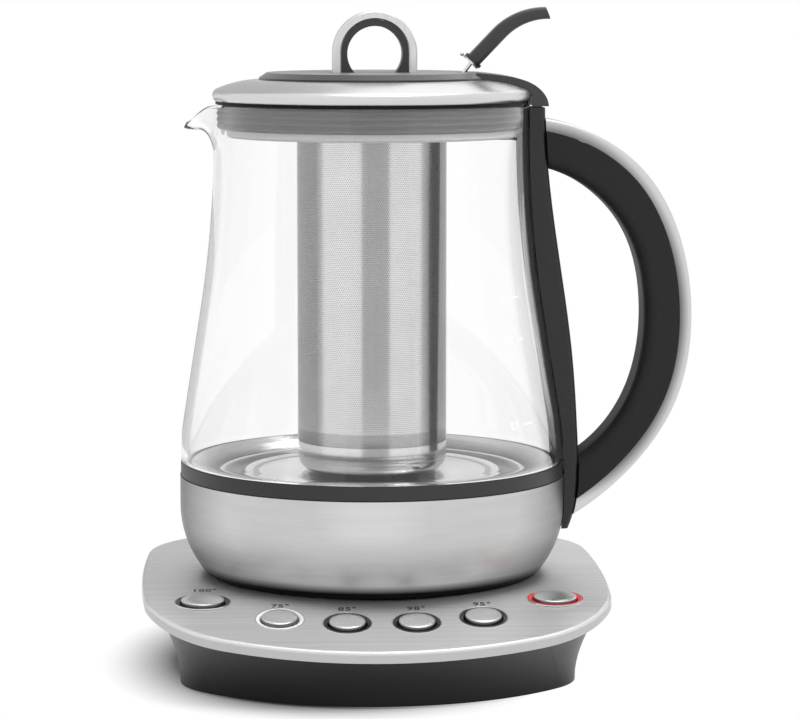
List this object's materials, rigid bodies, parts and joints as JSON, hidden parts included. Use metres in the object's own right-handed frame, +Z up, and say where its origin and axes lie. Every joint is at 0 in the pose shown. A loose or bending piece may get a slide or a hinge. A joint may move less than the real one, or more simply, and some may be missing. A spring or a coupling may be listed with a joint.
{
  "type": "tea maker",
  "caption": "Electric tea maker: glass jug with a steel bottom on a powered base with a sloping button panel; the lid carries a long tube infuser, a ring handle and a small lever.",
  "frame": {"origin": "centre of the whole outline on the table, under the feet", "axes": "+Z up, +X towards the jug's handle, -Y towards the button panel"},
  "size_m": [0.2208, 0.2062, 0.2617],
  "materials": {
    "base_steel": "brushed steel, bright rolled edge",
    "base_dark": "dark grey moulded plastic, fine grain",
    "cover_dark": "black plastic",
    "foot_rubber": "soft rubber",
    "screw_steel": "plated steel",
    "board_green": "coated circuit board",
    "switch_black": "moulded switch",
    "relay_black": "moulded relay",
    "transformer_yellow": "taped winding",
    "ring_dark": "smoked light guide, unlit",
    "ring_white": "light guide lit white",
    "ring_red": "light guide lit red",
    "button_steel": "turned steel cap",
    "connector_black": "heat-resistant plastic",
    "contact_brass": "bare brass",
    "jug_glass": "clear borosilicate glass",
    "jug_steel": "brushed steel, turned round the axis",
    "jug_cover": "black plastic",
    "band_dark": "dark seal",
    "heater_steel": "pressed steel, satin",
    "element_steel": "oxidised sheath",
    "thermostat_black": "heat-resistant plastic",
    "handle_dark": "dark grey plastic, fine grain",
    "gasket_grey": "grey silicone",
    "strap_steel": "brushed steel strip",
    "dome_steel": "brushed steel, polished edge",
    "lid_dark": "dark grey plastic, fine grain",
    "skirt_frosted": "frosted plastic",
    "seal_silicone": "grey silicone",
    "ring_steel": "brushed steel strip",
    "lever_steel": "polished rod",
    "infuser_steel": "fine perforated steel"
  },
  "bodies": {
    "base": {"base_top_plate": "base_steel", "base_case": "base_dark", "base_bottom_cover": "cover_dark", "base_feet": "foot_rubber", "base_screws": "screw_steel", "cord_inlet": "cover_dark", "control_board": "board_green", "push_switches": "switch_black", "power_board": "board_green", "relay": "relay_black", "transformer": "transformer_yellow", "light_rings": "ring_dark", "light_ring_green": "ring_white", "light_ring_power": "ring_red", "base_connector": "connector_black", "base_contacts": "contact_brass"},
    "socket": {"jug_connector": "connector_black"},
    "jug": {"glass_jug": "jug_glass", "jug_shell": "jug_steel", "jug_bottom_cover": "jug_cover", "jug_seal_band": "band_dark", "heater_plate": "heater_steel", "heating_element": "element_steel", "thermostat": "thermostat_black", "temperature_sensor": "heater_steel", "handle_spine": "handle_dark", "handle_gasket": "gasket_grey", "handle_grip": "handle_dark", "handle_strap": "strap_steel", "handle_screws": "screw_steel"},
    "lid": {"lid_dome": "dome_steel", "lid_base": "lid_dark", "lid_skirt": "skirt_frosted", "lid_seal": "seal_silicone", "lid_cap": "lid_dark", "lid_screws": "screw_steel", "lid_ring_strap": "ring_steel", "lid_ring_liner": "lid_dark", "lever_pin": "lever_steel"},
    "lever": {"lever_stem": "lever_steel", "lever_grip": "lid_dark", "lever_washer": "lever_steel"},
    "infuser": {"infuser_tube": "infuser_steel", "infuser_cup": "infuser_steel", "infuser_collar": "infuser_steel"},
    "button_boil": {"button_boil": "button_steel"},
    "button_green": {"button_green": "button_steel"},
    "button_black": {"button_black": "button_steel"},
    "button_herbal": {"button_herbal": "button_steel"},
    "button_oolong": {"button_oolong": "button_steel"},
    "button_power": {"button_power": "button_steel"}
  },
  "joints": [
    {"name": "jug_lift", "type": "slide", "parent": "base", "child": "socket", "axis": [0, 0, 1], "range_m": [0, 0.06]},
    {"name": "jug_turn", "type": "hinge", "parent": "socket", "child": "jug", "pos_m": [-0.01745, 0.01015, 0.0422], "axis": [0, 0, 1], "continuous": true},
    {"name": "lid_lift", "type": "slide", "parent": "jug", "child": "lid", "axis": [0, 0, 1], "range_m": [0, 0.16]},
    {"name": "lever_swing", "type": "hinge", "parent": "lid", "child": "lever", "pos_m": [0.01855, 0.01015, 0.23455], "axis": [0, -1, 0], "range_deg": [0, 45]},
    {"name": "infuser_twist", "type": "hinge", "parent": "lid", "child": "infuser", "pos_m": [-0.01745, 0.01015, 0.2122], "axis": [0, 0, 1], "range_deg": [0, 30]},
    {"name": "press_boil", "type": "slide", "parent": "base", "child": "button_boil", "axis": [0, 0.0826, -0.9966], "range_m": [0, 0.0005], "stiffness_N_per_m": 600},
    {"name": "press_green", "type": "slide", "parent": "base", "child": "button_green", "axis": [0, 0.2368, -0.9715], "range_m": [0, 0.0005], "stiffness_N_per_m": 600},
    {"name": "press_black", "type": "slide", "parent": "base", "child": "button_black", "axis": [0, 0.2368, -0.9715], "range_m": [0, 0.0005], "stiffness_N_per_m": 600},
    {"name": "press_herbal", "type": "slide", "parent": "base", "child": "button_herbal", "axis": [0, 0.2368, -0.9715], "range_m": [0, 0.0005], "stiffness_N_per_m": 600},
    {"name": "press_oolong", "type": "slide", "parent": "base", "child": "button_oolong", "axis": [0, 0.2368, -0.9715], "range_m": [0, 0.0005], "stiffness_N_per_m": 600},
    {"name": "press_power", "type": "slide", "parent": "base", "child": "button_power", "axis": [0, 0.0826, -0.9966], "range_m": [0, 0.0005], "stiffness_N_per_m": 600}
  ]
}
